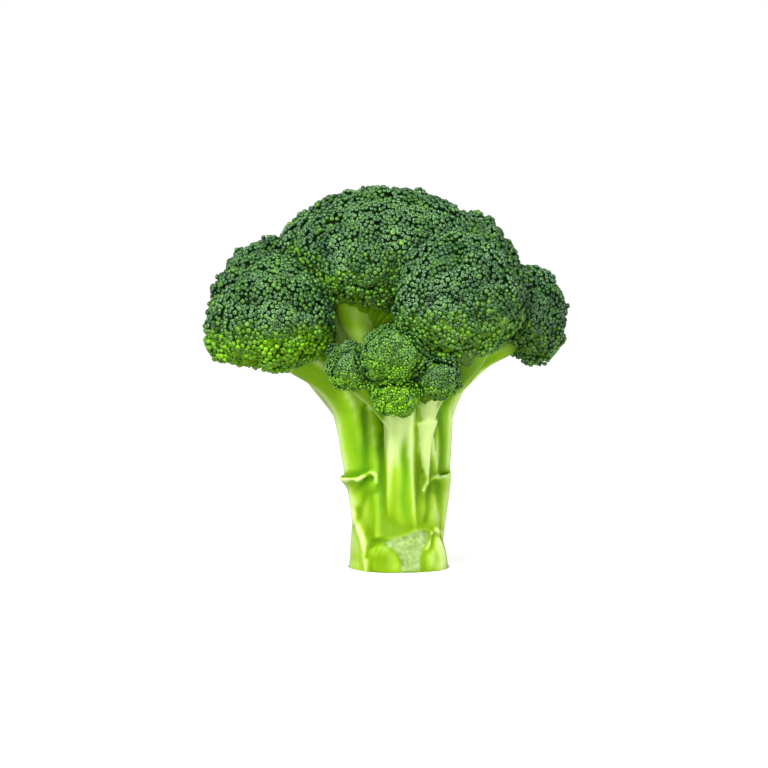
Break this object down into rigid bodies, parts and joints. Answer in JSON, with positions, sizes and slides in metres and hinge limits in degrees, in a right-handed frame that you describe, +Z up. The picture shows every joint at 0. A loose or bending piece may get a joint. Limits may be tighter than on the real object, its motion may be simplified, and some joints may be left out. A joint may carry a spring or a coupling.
{
  "type": "broccoli head",
  "caption": "Small broccoli head: a flat-cut stalk that forks into stems, each carrying a lobed dome of tight flower buds.",
  "frame": {"origin": "centre of the flat cut under the stalk", "axes": "+Z up along the stalk towards the top floret; -Y towards the front, where the small young florets are; +X to the right"},
  "size_m": [0.1507, 0.1358, 0.1593],
  "materials": {
    "stalk": "smooth waxy yellow-green skin, paler on the ridges and the cuts",
    "buds": "beaded dark green flower buds with a dull waxy bloom",
    "young_buds": "finer beaded flower buds, lighter and yellower green"
  },
  "bodies": {
    "root": {"stalk": "stalk", "floret_top": "buds", "floret_top_right": "buds", "floret_left_rear": "buds", "floret_left_front": "buds", "floret_right_front": "buds", "floret_far_right": "buds", "floret_rear": "buds", "floret_rear_left": "buds", "floret_rear_right": "buds", "floret_small_front": "young_buds", "floret_small_low": "young_buds", "floret_small_left": "young_buds", "floret_small_right": "young_buds"}
  },
  "joints": []
}
